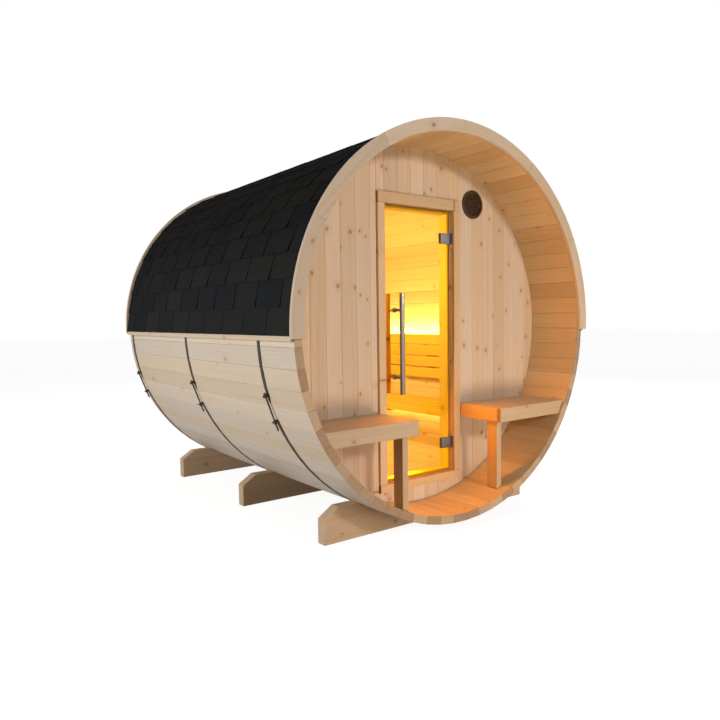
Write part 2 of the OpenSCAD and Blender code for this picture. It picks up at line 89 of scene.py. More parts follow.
class SaunaTimber(bpy.types.PropertyGroup):
    """Sizes and colours of the timber."""

    stave_count: IntProperty(
        name="Staves", description="Staves round the barrel", default=66, min=12)
    stave_radius: FloatProperty(
        name="Stave radius", description="From the axis to a stave's outer face",
        default=1.025, unit="LENGTH")
    stave_thickness: FloatProperty(
        name="Stave thickness", description="Thickness of a stave", default=0.042, unit="LENGTH")
    stave_turn: FloatProperty(
        name="Stave turn", description="Turn of the staves round the axis",
        default=math.radians(-1.5), subtype="ANGLE", unit="ROTATION")
    joint: FloatProperty(
        name="Joint", description="Gap between two staves", default=0.0008, unit="LENGTH")
    board_pitch: FloatProperty(
        name="Board pitch", description="Width of a wall board", default=0.0957, unit="LENGTH")
    board_start: FloatProperty(
        name="First joint", description="Where a joint between wall boards lies across the barrel",
        default=-0.727, unit="LENGTH")
    board_chamfer: FloatProperty(
        name="Board chamfer", description="Chamfer along a wall board", default=0.0024,
        unit="LENGTH")
    stave_tint: FloatVectorProperty(
        name="Staves", description="Pale wood of the staves", subtype="COLOR", size=3,
        default=(0.71, 0.635, 0.55), min=0, max=1)
    wall_tint: FloatVectorProperty(
        name="Walls", description="Pale wood of the wall boards", subtype="COLOR", size=3,
        default=(0.67, 0.555, 0.445), min=0, max=1)
    trim_tint: FloatVectorProperty(
        name="Fascias", description="Pale wood of the fascias and battens", subtype="COLOR", size=3,
        default=(0.64, 0.535, 0.43), min=0, max=1)
    cradle_tint: FloatVectorProperty(
        name="Cradles", description="Pale wood of the cradles", subtype="COLOR", size=3,
        default=(0.58, 0.44, 0.31), min=0, max=1)
    frame_tint: FloatVectorProperty(
        name="Door frame", description="Pale wood of the door frame", subtype="COLOR", size=3,
        default=(0.68, 0.50, 0.32), min=0, max=1)
    porch_tint: FloatVectorProperty(
        name="Porch", description="Pale wood of the porch benches", subtype="COLOR", size=3,
        default=(0.54, 0.42, 0.30), min=0, max=1)
    # Painted amber light: this tint is far more orange than the handle's wood, standing in for the
    # warm light behind the amber glass
    handle_tint: FloatVectorProperty(
        name="Handle", description="Turned wood of the inside handle", subtype="COLOR", size=3,
        default=(0.80, 0.34, 0.05), min=0, max=1)
    # Painted amber light: this tint is far more orange than the wood of the benches and beads,
    # standing in for the warm light behind the amber glass
    bench_tint: FloatVectorProperty(
        name="Benches", description="Pale wood of the inner benches", subtype="COLOR", size=3,
        default=(0.80, 0.55, 0.06), min=0, max=1)


class SaunaRoof(bpy.types.PropertyGroup):
    """Sizes and colours of the shingles, the bands and the vent."""

    courses: IntProperty(
        name="Courses", description="Courses of shingles on each side", default=13, min=4)
    shingle_thickness: FloatProperty(
        name="Shingle thickness", description="Thickness of a shingle", default=0.0035,
        unit="LENGTH")
    tab_pitch: FloatProperty(
        name="Tab pitch", description="Distance from one slot to the next", default=0.228,
        unit="LENGTH")
    slot: FloatProperty(
        name="Slot", description="Width of the slot between two tabs", default=0.011, unit="LENGTH")
    felt_tint: FloatVectorProperty(
        name="Felt", description="Mineral face of the shingles", subtype="COLOR", size=3,
        default=(0.0125, 0.0125, 0.0120), min=0, max=1)
    band_tint: FloatVectorProperty(
        name="Bands", description="Blackened steel of the bands", subtype="COLOR", size=3,
        default=(0.056, 0.043, 0.032), min=0, max=1)
    vent_tint: FloatVectorProperty(
        name="Vent", description="Moulded plastic of the vent", subtype="COLOR", size=3,
        default=(0.060, 0.034, 0.017), min=0, max=1)


class SaunaDoor(bpy.types.PropertyGroup):
    """Sizes and colours of the glass door."""

    bar_diameter: FloatProperty(
        name="Handle", description="Diameter of a handle bar", default=0.028, unit="LENGTH")
    post_span: FloatProperty(
        name="Post span", description="Distance between a handle's posts", default=0.368,
        unit="LENGTH")
    post_diameter: FloatProperty(
        name="Post", description="Diameter of a handle's post", default=0.014, unit="LENGTH")
    glass_tint: FloatVectorProperty(
        name="Glass", description="Amber of the door glass", subtype="COLOR", size=3,
        default=(1.0, 0.88, 0.25), min=0, max=1)
    steel_tint: FloatVectorProperty(
        name="Handle steel", description="Stainless steel of the handle", subtype="COLOR",
        size=3, default=(0.31, 0.28, 0.25), min=0, max=1)
    hinge_tint: FloatVectorProperty(
        name="Hinge steel", description="Satin steel of the hinges", subtype="COLOR",
        size=3, default=(0.26, 0.24, 0.23), min=0, max=1)


class SaunaStage(bpy.types.PropertyGroup):
    """Light, floor and view."""

    key_power: FloatProperty(
        name="Key", description="Power of the front light", default=150.0, unit="POWER")
    fill_power: FloatProperty(
        name="Fill", description="Power of the side light", default=266.0, unit="POWER")
    rear_power: FloatProperty(
        name="Rear", description="Power of the light behind", default=300.0, unit="POWER")
    strip_power: FloatProperty(
        name="Strips", description="Power of one light strip", default=12.0, unit="POWER")
    cabin_power: FloatProperty(
        name="Cabin", description="Power of the even light in the cabin", default=18.5,
        unit="POWER")
    glow_power: FloatProperty(
        name="Glow", description="Power of the amber light that leaves the door", default=21.0,
        unit="POWER")
    bounce_power: FloatProperty(
        name="Bounce", description="Power of the light thrown up from the ground in front",
        default=52.0, unit="POWER")
    sky: FloatProperty(
        name="Sky", description="Strength of the even light all round", default=0.13, min=0)
    floor_tint: FloatVectorProperty(
        name="Floor", description="Colour of the floor", subtype="COLOR", size=3,
        default=(0.22, 0.22, 0.22), min=0, max=1)


# Modelling by hand: selection, primitives and finishing


def clear_selection():
    active = bpy.context.view_layer.objects.active
    if active and active.mode != "OBJECT":
        bpy.ops.object.mode_set(mode="OBJECT")
    bpy.ops.object.select_all(action="DESELECT")


def make_active(ob):
    clear_selection()
    ob.select_set(True)
    bpy.context.view_layer.objects.active = ob


def cube(low, high):
    """A cube stretched from its lowest to its highest corner, with its place in its mesh."""
    clear_selection()
    low, high = Vector(low), Vector(high)
    bpy.ops.mesh.primitive_cube_add(size=1, location=(low + high) / 2)
    ob = bpy.context.object
    ob.scale = high - low
    bpy.ops.object.transform_apply(location=True, rotation=True, scale=True)
    return ob


def cylinder(radius, start, end, sides=32):
    """A cylinder between two points, with its place in its mesh."""
    clear_selection()
    start, end = Vector(start), Vector(end)
    bpy.ops.mesh.primitive_cylinder_add(
        vertices=sides, radius=radius, depth=(end - start).length)
    ob = bpy.context.object
    turn = (end - start).to_track_quat("Z", "Y").to_matrix().to_4x4()
    ob.data.transform(Matrix.Translation((start + end) / 2) @ turn)
    return ob


def edit_with(ob, kind="FACE", test=lambda face: True):
    """Goes into edit mode with only the faces or edges that pass the test selected."""
    make_active(ob)
    mesh = ob.data
    for things in (mesh.vertices, mesh.edges, mesh.polygons):
        things.foreach_set("select", [False] * len(things))
    if kind == "FACE":
        for face in mesh.polygons:
            face.select = test(face)
    else:
        for edge in mesh.edges:
            edge.select = test(*(mesh.vertices[i].co for i in edge.vertices))
    bpy.context.tool_settings.mesh_select_mode = (False, kind == "EDGE", kind == "FACE")
    bpy.ops.object.mode_set(mode="EDIT")


def leave_edit():
    bpy.ops.object.mode_set(mode="OBJECT")


def cut_across(ob, axis, places):
    """Cuts a piece through at each place along an axis, so that it can follow a curve."""
    normal = [0, 0, 0]
    normal[axis] = 1
    edit_with(ob)
    for place in places:
        point = [0, 0, 0]
        point[axis] = place
        bpy.ops.mesh.select_all(action="SELECT")
        bpy.ops.mesh.bisect(plane_co=point, plane_no=normal)
    leave_edit()


def soften(ob, width, segments=2, angle=40):
    """Rounds the sharp edges of a piece."""
    make_active(ob)
    bevel = ob.modifiers.new("edges", "BEVEL")
    bevel.width = width
    bevel.segments = segments
    bevel.limit_method = "ANGLE"
    bevel.angle_limit = math.radians(angle)
    bevel.harden_normals = False
    bpy.ops.object.modifier_apply(modifier=bevel.name)
    return ob


def smooth(ob, angle=40):
    make_active(ob)
    bpy.ops.object.shade_smooth_by_angle(angle=math.radians(angle))
    return ob


def rounded(ob, width, segments=1, angle=60):
    """Rounds the sharp edges of a piece and shades it smooth."""
    return smooth(soften(ob, width, segments, angle))


def point_outwards(ob):
    edit_with(ob)
    bpy.ops.mesh.remove_doubles(threshold=WELD)
    bpy.ops.mesh.normals_make_consistent(inside=False)
    leave_edit()
    return ob


def put_in(name, data):
    """A new object in the scene."""
    ob = bpy.data.objects.new(name, data)
    bpy.context.scene.collection.objects.link(ob)
    return ob


def copy_of(ob, place=None):
    """Another piece of the same shape, with a mesh of its own."""
    twin = put_in(ob.name, ob.data.copy())
    if place is not None:
        twin.data.transform(place)
    return twin


def drop(ob):
    bpy.data.objects.remove(ob, do_unlink=True)


def join(pieces):
    clear_selection()
    for piece in pieces:
        piece.select_set(True)
    bpy.context.view_layer.objects.active = pieces[0]
    if len(pieces) > 1:
        bpy.ops.object.join()
    return bpy.context.view_layer.objects.active


def settle(ob, name, material, slot, body, *nodes):
    """Names a piece and gives it its finish, its body and the solids that it stands for."""
    ob.name = name
    ob.data.name = name
    ob.data.materials.clear()
    ob.data.materials.append(material)
    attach(ob, body)
    if nodes:
        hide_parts(*nodes)
    return ob


def solids_of(node):
    """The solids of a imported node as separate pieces, with their faces merged."""
    clear_selection()
    whole = put_in(node + "_solids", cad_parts[node].data.copy())
    edit_with(whole)
    bpy.ops.mesh.remove_doubles(threshold=WELD)
    bpy.ops.mesh.dissolve_limited(angle_limit=math.radians(0.2))
    bpy.ops.mesh.separate(type="LOOSE")
    leave_edit()
    return list(bpy.context.selected_objects)


# Timber: each board carries its own grain


def grain(ob, along, seed):
    """Gives a board its grain: places across, along and through it, its number and its ends."""
    mesh = ob.data
    count = len(mesh.vertices)
    points = np.zeros(count * 3, np.float32)
    mesh.vertices.foreach_get("co", points)
    points = points.reshape(-1, 3)
    size = points.max(0) - points.min(0)
    across, through = sorted((i for i in range(3) if i != along), key=lambda i: -size[i])
    middle = (points.max(0) + points.min(0)) / 2
    for name in ("plank", "board", "end_grain"):
        if name in mesh.attributes:
            mesh.attributes.remove(mesh.attributes[name])
    plank = mesh.attributes.new("plank", "FLOAT_VECTOR", "POINT")
    plank.data.foreach_set("vector", (points - middle)[:, [across, along, through]].ravel())
    mark_faces(ob, "end_grain", lambda face: abs(face.normal[along]) > END_FACE)
    number_board(ob, seed)
    return ob


def mark_faces(ob, name, test):
    """Marks the faces of a piece that pass a test, for its finish."""
    marks = ob.data.attributes.new(name, "FLOAT", "FACE")
    marks.data.foreach_set("value", [float(test(face)) for face in ob.data.polygons])


def number_board(ob, seed):
    mesh = ob.data
    if "board" in mesh.attributes:
        mesh.attributes.remove(mesh.attributes["board"])
    board = mesh.attributes.new("board", "FLOAT", "POINT")
    value = random.Random("board %s" % (seed,)).random()
    board.data.foreach_set("value", [value] * len(mesh.vertices))


def board(low, high, along, seed, edge, shape=None):
    """A planed board between two corners, with its grain along one axis."""
    ob = cube(low, high)
    if shape:
        for vertex in ob.data.vertices:
            shape(vertex.co)
    soften(ob, edge)
    return grain(ob, along, seed)


def planks_of(node, along, seed, edge, key=None):
    """The solids of a node as boards with rounded edges, each with its own grain."""
    solids = solids_of(node)
    if key:
        solids.sort(key=key)
    return [grain(soften(one, edge), along, (*seed, k)) for k, one in enumerate(solids)]


class Web:
    """The shader nodes of one material or of the sky."""

    def __init__(self, owner):
        owner.use_nodes = True
        self.owner = owner
        self.tree = owner.node_tree
        self.shader = next(
            n for n in self.tree.nodes if n.type in ("BSDF_PRINCIPLED", "BACKGROUND"))
        self.column = 0

    def put(self, socket, value):
        if isinstance(value, bpy.types.NodeSocket):
            self.tree.links.new(value, socket)
        elif value is not None:
            socket.default_value = value

    def node(self, kind, inputs=None, **settings):
        made = self.tree.nodes.new(kind)
        self.column += 1
        made.location = (-180 * self.column, 0)
        for key, value in settings.items():
            setattr(made, key, value)
        for key, value in (inputs or {}).items():
            self.put(made.inputs[key], value)
        return made

    def attribute(self, name, output="Fac"):
        return self.node("ShaderNodeAttribute", attribute_name=name).outputs[output]

    def place(self):
        return self.node("ShaderNodeTexCoord").outputs["Object"]

    def split(self, vector):
        return self.node("ShaderNodeSeparateXYZ", {0: vector}).outputs

    def join(self, x, y, z):
        return self.node("ShaderNodeCombineXYZ", {0: x, 1: y, 2: z}).outputs[0]

    def luck(self, number, spread, output):
        """A draw of its own for each number."""
        made = self.node("ShaderNodeTexWhiteNoise", {"W": self.times(number, spread)},
                         noise_dimensions="1D")
        return made.outputs[output]

    def seen(self):
        """One where the eye looks straight on, by a mirror or through glass, else zero."""
        path = self.node("ShaderNodeLightPath").outputs
        seen = self.math("MAXIMUM", path["Is Camera Ray"], path["Is Glossy Ray"])
        return self.math("MAXIMUM", seen, path["Is Transmission Ray"])

    def math(self, operation, a, b=None, c=None):
        made = self.node("ShaderNodeMath", {0: a, 1: b, 2: c}, operation=operation)
        return made.outputs[0]

    def times(self, a, b):
        return self.math("MULTIPLY", a, b)

    def plus(self, a, b):
        return self.math("ADD", a, b)

    def vector(self, operation, a, b=None, scale=None, output="Vector"):
        inputs = {0: a, 1: b} if scale is None else {0: a, "Scale": scale}
        return self.node("ShaderNodeVectorMath", inputs, operation=operation).outputs[output]

    def stretch(self, a, b):
        return self.vector("MULTIPLY", a, b)

    def length(self, vector):
        return self.vector("LENGTH", vector, output="Value")

    def noise(self, vector, scale, detail=2.0, roughness=0.5):
        made = self.node(
            "ShaderNodeTexNoise",
            {"Vector": vector, "Scale": scale, "Detail": detail, "Roughness": roughness})
        return made.outputs["Fac"]

    def fade(self, value, low, high, to_low=0.0, to_high=1.0, kind="SMOOTHSTEP"):
        made = self.node(
            "ShaderNodeMapRange",
            {"Value": value, "From Min": low, "From Max": high, "To Min": to_low,
             "To Max": to_high}, interpolation_type=kind)
        return made.outputs["Result"]

    def ramp(self, value, to_low, to_high):
        return self.fade(value, 0, 1, to_low, to_high, "LINEAR")

    def mix(self, factor, a, b):
        made = self.node("ShaderNodeMix", data_type="RGBA")
        self.put(made.inputs["Factor"], factor)
        self.put(made.inputs["A"], rgba(a))
        self.put(made.inputs["B"], rgba(b))
        return made.outputs["Result"]

    def bump(self, height, distance, strength=1.0):
        made = self.node(
            "ShaderNodeBump", {"Height": height, "Distance": distance, "Strength": strength})
        self.put(self.shader.inputs["Normal"], made.outputs["Normal"])

    def finish(self, **inputs):
        for name, value in inputs.items():
            self.put(self.shader.inputs[name.replace("_", " ")], value)
        return self.owner


def rgba(colour):
    if isinstance(colour, bpy.types.NodeSocket) or colour is None:
        return colour
    return (*colour[:3], 1.0)


def shade(colour, factor):
    """A colour times a number, or times one number for each channel."""
    factors = factor if isinstance(factor, (tuple, list)) else (factor,) * 3
    return tuple(min(1.0, c * f) for c, f in zip(colour, factors))


def spruce(web, tint, ends_dark, knots):
    """Planed spruce: growth rings, fibres, knots, a tone for each board and browner end grain."""
    place = web.attribute("plank", "Vector")
    number = web.attribute("board")
    luck = web.luck(number, 977.0, "Color")
    first, second, third = web.split(luck)
    own = web.vector("ADD", place, web.vector("SCALE", luck, scale=37.0))

    # Knots: a few round spots on a board, each with a size of its own
    per_width, per_length = 8.5, 3.4
    spread = web.stretch(place, (per_width, per_length, 0.0))
    spots = web.vector("ADD", spread, web.stretch(luck, (41.0, 53.0, 0.0)))
    cells = web.node(
        "ShaderNodeTexVoronoi", {"Vector": spots, "Scale": 1.0, "Randomness": 0.9},
        voronoi_dimensions="2D", feature="F1")
    away = web.vector("SUBTRACT", spots, cells.outputs["Position"])
    away = web.stretch(away, (1 / per_width, 1 / per_length, 0.0))
    off = web.length(web.stretch(away, (1.0, 0.8, 0.0)))
    chance, size, _ = web.split(cells.outputs["Color"])
    knot_r = web.math("MULTIPLY_ADD", size, 0.0075, 0.0035)
    there = web.math("LESS_THAN", chance, knots)
    knot = web.fade(off, web.times(knot_r, 0.7), web.times(knot_r, 1.15), 1.0, 0.0)
    knot = web.times(knot, there)
    halo = web.fade(off, 0.0, web.times(knot_r, 4.5), 1.0, 0.0)
    halo = web.times(halo, there)

    # Growth rings round a pith that lies beside the board and wanders along it
    wander = web.noise(web.stretch(own, (1.5, 0.8, 1.5)), 1.0, 1.0)
    swing = web.math("MULTIPLY_ADD", wander, 0.07, -0.035)
    swing = web.plus(swing, web.times(halo, 0.010))
    pith = web.join(web.plus(web.ramp(first, -0.07, 0.07), swing), 0.0,
                    web.ramp(third, 0.03, 0.13))
    from_pith = web.stretch(web.vector("ADD", place, pith), (1.0, 0.0, 1.0))
    radius = web.length(from_pith)
    rings_per_metre = 230.0
    year = web.math("FRACT", web.times(radius, rings_per_metre))
    late = web.times(web.fade(year, 0.35, 0.92), web.fade(year, 0.93, 1.0, 1.0, 0.0))
    spell = web.noise(web.join(web.times(radius, 60.0), number, second), 1.0, 2.0)

    # Fibres run along the board, and its tone drifts slowly
    fibre = web.noise(web.stretch(own, (330.0, 5.0, 330.0)), 1.0, 3.0, 0.6)
    streak = web.noise(web.stretch(own, (70.0, 0.9, 70.0)), 1.0, 2.0)
    drift = web.noise(web.stretch(own, (6.0, 1.6, 6.0)), 1.0, 2.0)

    warm = shade(tint, (0.97, 0.88, 0.74))
    dark = shade(tint, (0.86, 0.68, 0.48))
    colour = web.mix(web.fade(second, 0.1, 0.95), tint, warm)
    colour = web.mix(web.fade(drift, 0.35, 0.75, 0.0, 0.45), colour, warm)
    colour = web.mix(web.fade(spell, 0.45, 0.75, 0.0, 0.38), colour, dark)
    colour = web.mix(web.fade(streak, 0.5, 0.8, 0.0, 0.42), colour, dark)
    colour = web.mix(web.times(late, 0.34), colour, dark)
    tone = web.ramp(third, 0.87, 1.06)
    tone = web.times(tone, web.fade(fibre, 0.25, 0.75, 0.94, 1.04, "LINEAR"))
    colour = web.vector("SCALE", colour, scale=tone)
    colour = web.mix(web.times(halo, 0.40), colour, shade(tint, (0.72, 0.50, 0.30)))
    rim = web.fade(off, web.times(knot_r, 0.35), web.times(knot_r, 0.95), 0.62, 0.92)
    colour = web.mix(web.times(knot, rim), colour, shade(tint, (0.34, 0.20, 0.11)))
    # Painted amber light: the staves' inner faces are made warmer and darker, standing in for the
    # amber glow and bounce that light the inside
    painted_amber_glow = web.stretch(colour, (1.0, 0.84, 0.57))
    colour = web.mix(web.attribute("inside"), colour, painted_amber_glow)
    ends = web.times(web.attribute("end_grain"), ends_dark)
    end_tone = web.mix(web.fade(first, 0.15, 0.85), shade(tint, (0.36, 0.21, 0.10)),
                       shade(tint, (0.76, 0.58, 0.40)))
    end_tone = web.mix(web.times(late, 0.45), end_tone, shade(tint, (0.32, 0.20, 0.11)))
    colour = web.mix(ends, colour, end_tone)

    height = web.plus(web.times(fibre, 0.6), web.times(late, -0.35))
    height = web.plus(height, web.times(knot, 0.25))
    web.bump(height, 0.0006, 0.5)
    return web.finish(
        Base_Color=colour, Roughness=web.fade(fibre, 0.2, 0.8, 0.50, 0.68, "LINEAR"),
        Specular_IOR_Level=0.35)


def felt(web, tint):
    """Mineral felt: a tone for each tab, crushed stone, and painted light that makes it paler
    towards the eaves.
    """
    place = web.place()
    luck = web.luck(web.attribute("board"), 613.0, "Value")
    stone = web.node(
        "ShaderNodeTexVoronoi", {"Vector": place, "Scale": 620.0, "Randomness": 1.0},
        feature="F1")
    patch = web.noise(place, 9.0, 3.0, 0.6)
    colour = web.mix(luck, shade(tint, (0.76, 0.84, 1.00)), shade(tint, (1.38, 1.30, 1.18)))
    # Painted light: the courses towards the eaves are made paler and bluer, and those near the
    # ridge darker; the felt itself has one tone
    height = web.split(place)[Z]
    felt_painted_dim = web.stretch(colour, (0.86, 0.82, 0.76))
    felt_painted_lit = web.stretch(colour, (1.70, 1.76, 1.86))
    colour = web.mix(web.fade(height, 1.75, 1.05), felt_painted_dim, felt_painted_lit)
    colour = web.mix(web.fade(patch, 0.4, 0.75, 0.0, 0.5), colour, shade(tint, (1.45, 1.45, 1.5)))
    grit = web.split(stone.outputs["Color"])[X]
    colour = web.mix(web.fade(grit, 0.72, 1.0, 0.0, 0.6), colour, shade(tint, (2.6, 2.6, 2.7)))
    colour = web.mix(web.fade(grit, 0.35, 0.0, 0.0, 0.5), colour, shade(tint, 0.45))
    relief = web.plus(stone.outputs["Distance"], web.times(patch, 0.4))
    web.bump(relief, 0.0012, 0.6)
    return web.finish(
        Base_Color=colour, Roughness=web.ramp(grit, 0.78, 0.95),
        Specular_IOR_Level=0.004)


def steel(web, tint, roughness, along=(1.0, 1.0, 1.0), metal=1.0, wear=0.2, gloss=0.5):
    """Steel with a fine brushed grain along one way and faint stains."""
    place = web.place()
    brush = web.noise(web.stretch(place, along), 900.0, 3.0, 0.6)
    stain = web.noise(place, 28.0, 4.0, 0.6)
    colour = web.mix(web.fade(brush, 0.3, 0.7, 0.0, 0.35), tint, shade(tint, 0.72))
    colour = web.mix(web.fade(stain, 0.55, 0.8, 0.0, wear), colour, shade(tint, (0.55, 0.45, 0.36)))
    rough = web.plus(web.fade(brush, 0.2, 0.8, roughness - 0.07, roughness + 0.09, "LINEAR"),
                     web.fade(stain, 0.5, 0.8, 0.0, 0.15))
    web.bump(brush, 0.0002, 0.35)
    return web.finish(
        Base_Color=colour, Roughness=rough, Metallic=metal, Specular_IOR_Level=gloss)


def threaded_steel(web, tint):
    """Dull plated steel; the rods carry a thread along their own length."""
    run = web.attribute("thread")
    turn = web.math("SINE", web.times(run, 2 * math.pi / THREAD_PITCH))
    stain = web.noise(web.place(), 60.0, 4.0, 0.6)
    colour = web.mix(web.fade(stain, 0.45, 0.8, 0.0, 0.7), tint, shade(tint, (0.5, 0.40, 0.32)))
    # Painted shade in the thread's grooves, which are only bumped, not modelled
    colour = web.mix(web.fade(turn, -1, 1, 0.35, 0.0, "LINEAR"), colour, shade(tint, 0.4))
    web.bump(turn, 0.0004, 0.6)
    return web.finish(
        Base_Color=colour, Metallic=0.5, Roughness=web.fade(stain, 0.3, 0.8, 0.4, 0.6, "LINEAR"))


def moulded_plastic(web, tint):
    """Dark moulded plastic with a fine sandy face and patches of dust."""
    place = web.place()
    sand = web.noise(place, 1400.0, 2.0)
    dust = web.noise(place, 35.0, 4.0, 0.6)
    colour = web.mix(web.fade(sand, 0.3, 0.7), shade(tint, 0.85), shade(tint, 1.15))
    colour = web.mix(web.fade(dust, 0.5, 0.8, 0.0, 0.25), colour, shade(tint, (2.0, 2.2, 2.4)))
    web.bump(sand, 0.0003, 0.4)
    return web.finish(
        Base_Color=colour, Roughness=web.fade(dust, 0.3, 0.8, 0.45, 0.62, "LINEAR"),
        Specular_IOR_Level=0.25)


def amber_glass(web, tint):
    """Toughened glass, amber right through, with faint wipe marks and ground edges."""
    wipe = web.noise(web.stretch(web.place(), (3.0, 3.0, 0.8)), 4.0, 4.0, 0.65)
    rim = web.attribute("rim")
    return web.finish(
        Base_Color=web.mix(rim, tint, shade(tint, (0.30, 0.16, 0.10))), IOR=1.15,
        Transmission_Weight=web.ramp(rim, 1.0, 0.1),
        Roughness=web.math("MAXIMUM", web.fade(wipe, 0.45, 0.8, 0.0, 0.012),
                           web.times(rim, 0.5)))


def glowing_strip(web, tint, strength):
    """A milky diffuser over a row of small lamps."""
    lamp_pitch = 0.033
    run = web.times(web.split(web.place())[Y], math.pi / lamp_pitch)
    lamp = web.math("ABSOLUTE", web.math("SINE", run))
    colour = web.mix(lamp, shade(tint, (1.0, 0.82, 0.62)), tint)
    return web.finish(
        Base_Color=colour, Emission_Color=colour, Emission_Strength=strength, Roughness=0.6)


def finish_of(name, maker, *args, **settings):
    """A material by name, made on first use."""
    made = bpy.data.materials.get(name)
    return made or maker(Web(bpy.data.materials.new(name)), *args, **settings)


def timber_of(kind):
    timber = bpy.context.scene.sauna_timber
    tints = {
        "staves": timber.stave_tint, "walls": timber.wall_tint, "trim": timber.trim_tint,
        "cradles": timber.cradle_tint, "frame": timber.frame_tint, "porch": timber.porch_tint,
        "benches": timber.bench_tint, "handle": timber.handle_tint,
    }
    ends_dark = 0.1 if kind == "cradles" else 0.8
    knots = 0.85 if kind == "walls" else 0.42
    return finish_of("spruce_" + kind, spruce, tuple(tints[kind]), ends_dark, knots)


def ring_point(radius, angle, y):
    """A point round the barrel's axis; the angle starts at +X and rises."""
    return Vector((radius * math.cos(angle), y, AXIS_Z + radius * math.sin(angle)))


def round_axis(turn):
    """A turn about the barrel's axis for a piece that was modelled at the origin."""
    return Matrix.Translation((0, 0, AXIS_Z)) @ Matrix.Rotation(turn, 4, "Y")


def half_chord(off):
    """Half the span inside the staves at a distance from the axis."""
    return math.sqrt(max(WALL_R ** 2 - off ** 2, 0))


def rim_high(x):
    return AXIS_Z + half_chord(x)


def rim_low(x):
    return AXIS_Z - half_chord(x)


# The pieces


class SAUNA_OT_staves(bpy.types.Operator):
    """Lay bevelled staves round the barrel"""

    bl_idname = "sauna.staves"
    bl_label = "Staves"

    def execute(self, context):
        timber = context.scene.sauna_timber
        half = math.pi / timber.stave_count
        gap = timber.joint / 2 / math.cos(half)
        outer = timber.stave_radius * math.tan(half) - gap
        inner = (timber.stave_radius - timber.stave_thickness) * math.tan(half) - gap
        stave = cube((-outer, FRONT_Y, -timber.stave_thickness), (outer, REAR_Y, 0))
        edit_with(stave, "FACE", lambda face: face.normal.z < -0.5)
        bpy.ops.transform.resize(
            value=(inner / outer, 1, 1), center_override=(0, 0, -timber.stave_thickness))
        leave_edit()
        soften(stave, STAVE_EDGE)
        grain(stave, Y, "stave")
        mark_faces(stave, "inside", lambda face: face.normal.z < -0.5)
        group_size = timber.stave_count // len(STAVE_GROUPS)
        group_turn = 2 * math.pi / len(STAVE_GROUPS)
        for group, side in enumerate(STAVE_GROUPS):
            laid = []
            for i in range(group_size):
                turn = group * group_turn + (i - (group_size - 1) / 2) * 2 * half
                turn += timber.stave_turn
                out = Matrix.Translation((0, 0, timber.stave_radius))
                one = copy_of(stave, round_axis(math.pi - turn) @ out)
                number_board(one, (side, i))
                laid.append(one)
            settle(join(laid), "stave_planks_" + side, timber_of("staves"), "stave_spruce", "cabin",
                   "staves_" + side)
        drop(stave)
        return {"FINISHED"}


def wall_board(left, right, low, high, front, back, seed, chamfer):
    """One upright wall board; its ends follow the curves low(x) and high(x)."""
    ob = cube((left, front, 0), (right, back, 1))
    lean = [math.acos(max(-1.0, min(1.0, x / WALL_R))) for x in (left, right)]
    cuts = max(2, math.ceil(abs(lean[0] - lean[1]) / RIM_STEP))
    cut_across(ob, X, [WALL_R * math.cos(lean[0] + (lean[1] - lean[0]) * k / cuts)
                       for k in range(1, cuts)])
    for vertex in ob.data.vertices:
        vertex.co.z = high(vertex.co.x) if vertex.co.z > 0.5 else low(vertex.co.x)
    edit_with(ob, "EDGE", lambda a, b: abs(a.x - b.x) < WELD and abs(a.y - b.y) < WELD
              and min(abs(a.x - left), abs(a.x - right)) < WELD)
    bpy.ops.mesh.bevel(offset=chamfer, segments=1, affect="EDGES")
    leave_edit()
    return grain(ob, Z, seed)


class SAUNA_OT_end_walls(bpy.types.Operator):
    """Board the front wall round the door and the back wall"""

    bl_idname = "sauna.end_walls"
    bl_label = "End walls"

    def execute(self, context):
        timber = context.scene.sauna_timber
        finish = timber_of("walls")
        front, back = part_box("front_wall_left")[0].y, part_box("front_wall_left")[1].y
        parts = [
            ("front_wall_left", rim_low, rim_high),
            ("front_wall_right", rim_low, rim_high),
            ("front_wall_over_door", lambda x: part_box("front_wall_over_door")[0].z, rim_high),
            ("front_wall_under_door", rim_low, lambda x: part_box("front_wall_under_door")[1].z),
        ]
        for node, low, high in parts:
            boards = self.boards(timber, node, low, high, front, back)
            if node == "front_wall_right":
                boards = [self.pierce(one) for one in boards]
            settle(join(boards), node.replace("wall", "boards"), finish, "wall_spruce", "cabin",
                   node)
        boards = self.boards(timber, "back_wall", rim_low, rim_high, WALL_LOW.y, WALL_HIGH.y)
        settle(join(boards), "back_boards", finish, "wall_spruce", "cabin", "back_wall")
        return {"FINISHED"}

    def boards(self, timber, node, low, high, front, back):
        left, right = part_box(node)[0].x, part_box(node)[1].x
        first, last = (math.floor((end - timber.board_start) / timber.board_pitch)
                       for end in (left, right))
        made = []
        for k in range(first, last + 1):
            start = timber.board_start + k * timber.board_pitch
            x0, x1 = max(left, start), min(right, start + timber.board_pitch)
            if x1 - x0 > NARROWEST_BOARD:
                made.append(wall_board(x0, x1, low, high, front, back, (node[:5], k),
                                       timber.board_chamfer))
        return made

    def pierce(self, one):
        """Drills the vent's hole through a board that it meets."""
        low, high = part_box("vent_grille")
        middle, reach = (low + high) / 2, Vector((0, 0.2, 0))
        points = [v.co.x for v in one.data.vertices]
        radius = (high.x - low.x) / 2 - VENT_RIM
        if max(points) < middle.x - radius or min(points) > middle.x + radius:
            return one
        seed = one.data.attributes["board"].data[0].value
        drill = cylinder(radius, middle - reach, middle + reach, 48)
        make_active(one)
        hole = one.modifiers.new("hole", "BOOLEAN")
        hole.operation = "DIFFERENCE"
        hole.solver = "EXACT"
        hole.object = drill
        bpy.ops.object.modifier_apply(modifier=hole.name)
        drop(drill)
        return grain(one, Z, "pierced %.4f" % seed)


